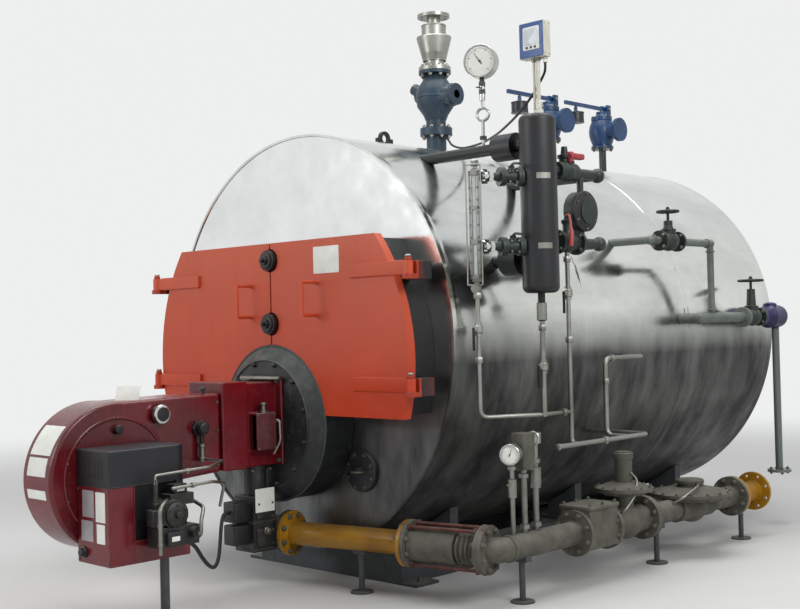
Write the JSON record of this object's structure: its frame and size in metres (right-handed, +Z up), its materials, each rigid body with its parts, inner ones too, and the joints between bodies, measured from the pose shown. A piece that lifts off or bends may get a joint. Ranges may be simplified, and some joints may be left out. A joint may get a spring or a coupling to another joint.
{
  "type": "industrial boiler",
  "caption": "Horizontal fire-tube steam boiler with a polished clad shell, hinged smokebox doors, a forced-draught burner, gas train, level column, safety, steam and feed valves on a skid.",
  "frame": {"origin": "on the floor under the middle of the shell, at the underside of the middle cross member", "axes": "+Z up, -Y towards the burner and the smokebox doors, +X towards the level column and the gas train"},
  "size_m": [2.484, 4.699, 3.05],
  "materials": {
    "bright_cladding": "polished sheet cladding, softly mirrored",
    "bright_plate": "polished flat end sheet",
    "sooty_steel": "sooty grey-black plate",
    "black_steel": "satin black heat-resisting paint",
    "dusty_black_steel": "black paint with pale dust",
    "orange_enamel": "salmon-orange satin paint",
    "grey_paint": "dark grey paint",
    "burner_red": "deep crimson gloss paint",
    "burner_black": "black moulded cover",
    "dark_alloy": "dark dusty cast alloy",
    "yellow_paint": "yellow gas pipe paint",
    "dusty_cream": "cream paint under thick dust",
    "steel_fitting": "worn bright steel",
    "black_insulation": "blue-black insulated jacket",
    "green_cast": "dark green cast body",
    "teal_cast": "dark blue-green cast body",
    "blue_enamel": "bright blue enamel",
    "violet_enamel": "violet-blue enamel",
    "gauge_case": "bright gauge case",
    "black_rubber": "black cable sheath",
    "grey_pipe": "grey-green painted pipe"
  },
  "bodies": {
    "boiler": {"shell_cladding": "bright_cladding", "front_plate": "bright_plate", "rear_plate": "bright_plate", "tube_plate": "sooty_steel", "smokebox": "black_steel", "hinge_brackets": "orange_enamel", "door_clamps": "black_steel", "furnace_mouth": "dusty_black_steel", "access_covers": "black_steel", "skid_rails": "grey_paint", "cross_members": "grey_paint", "shell_saddles": "grey_paint", "lifting_lugs": "black_steel", "flue_outlet": "grey_paint", "burner_head": "burner_red", "burner_fan_casing": "burner_red", "burner_motor_cover": "burner_black", "burner_control_box": "burner_red", "burner_sensors": "burner_black", "burner_pump": "dark_alloy", "gas_valve_block": "dark_alloy", "gas_pipes": "yellow_paint", "gas_flexible_joint": "dusty_cream", "gas_pipe_side": "dusty_cream", "gas_filter": "dusty_cream", "gas_governor": "dusty_cream", "gas_regulator": "dusty_cream", "gas_gauges": "steel_fitting", "floor_stands": "grey_paint", "level_chamber": "black_insulation", "sight_glass": "steel_fitting", "level_cocks": "green_cast", "level_branches": "black_insulation", "level_valves": "green_cast", "pressure_gauge": "gauge_case", "level_display": "blue_enamel", "drain_pipes": "steel_fitting", "steam_valve": "teal_cast", "steam_outlet": "bright_cladding", "safety_valves": "blue_enamel", "feed_pipes": "grey_pipe", "feed_valves": "green_cast", "check_valve": "violet_enamel", "cables": "black_rubber"},
    "door_left": {"door_left": "orange_enamel"},
    "door_right": {"door_right": "orange_enamel"},
    "handwheel_upper": {"handwheel_upper": "black_steel"},
    "handwheel_lower": {"handwheel_lower": "black_steel"},
    "safety_lever_front": {"safety_lever_front": "blue_enamel"},
    "safety_lever_rear": {"safety_lever_rear": "blue_enamel"}
  },
  "joints": [
    {"name": "door_right_hinge", "type": "hinge", "parent": "boiler", "child": "door_right", "pos_m": [0.967, -1.699, 1.26], "axis": [0, 0, 1], "range_deg": [0, 110]},
    {"name": "door_left_hinge", "type": "hinge", "parent": "boiler", "child": "door_left", "pos_m": [-0.967, -1.699, 1.26], "axis": [0, 0, -1], "range_deg": [0, 110]},
    {"name": "upper_feed_valve_turn", "type": "hinge", "parent": "boiler", "child": "handwheel_upper", "pos_m": [1.17, 0.125, 1.845], "axis": [0, 0, 1], "range_deg": [0, 360]},
    {"name": "lower_feed_valve_turn", "type": "hinge", "parent": "boiler", "child": "handwheel_lower", "pos_m": [1.17, 1.019, 1.48], "axis": [0, 0, 1], "range_deg": [0, 360]},
    {"name": "front_safety_lever_lift", "type": "hinge", "parent": "boiler", "child": "safety_lever_front", "pos_m": [0, 0.688, 2.692], "axis": [-1, 0, 0], "range_deg": [0, 6]},
    {"name": "rear_safety_lever_lift", "type": "hinge", "parent": "boiler", "child": "safety_lever_rear", "pos_m": [0, 1.278, 2.692], "axis": [-1, 0, 0], "range_deg": [0, 6]}
  ]
}
